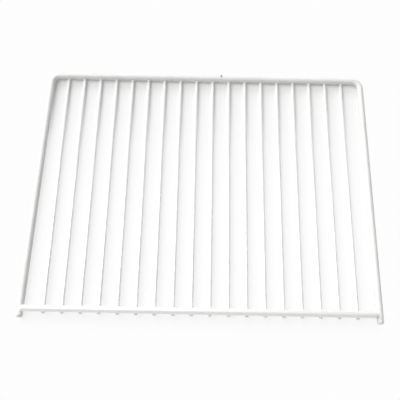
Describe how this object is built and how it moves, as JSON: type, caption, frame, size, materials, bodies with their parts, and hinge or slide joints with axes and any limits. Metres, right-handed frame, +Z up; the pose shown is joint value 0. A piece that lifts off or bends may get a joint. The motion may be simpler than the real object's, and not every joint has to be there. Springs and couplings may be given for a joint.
{
  "type": "wire freezer shelf",
  "caption": "Flat white-coated wire shelf for a freezer: a U-shaped frame rod with two free front ends, thin wires from front to back and a cross bar over them at the front.",
  "frame": {"origin": "under the middle of the shelf, on the surface that it lies on", "axes": "+X to the right seen from the front, +Y from the front bar to the back rod, +Z up"},
  "size_m": [0.3579, 0.2746, 0.012],
  "materials": {
    "white_coat": "satin, a thick white plastic coat over steel"
  },
  "bodies": {
    "root": {"frame_rod": "white_coat", "front_bar": "white_coat", "wire_01": "white_coat", "wire_02": "white_coat", "wire_03": "white_coat", "wire_04": "white_coat", "wire_05": "white_coat", "wire_06": "white_coat", "wire_07": "white_coat", "wire_08": "white_coat", "wire_09": "white_coat", "wire_10": "white_coat", "wire_11": "white_coat", "wire_12": "white_coat", "wire_13": "white_coat", "wire_14": "white_coat", "wire_15": "white_coat", "wire_16": "white_coat", "wire_17": "white_coat", "wire_18": "white_coat"}
  },
  "joints": []
}
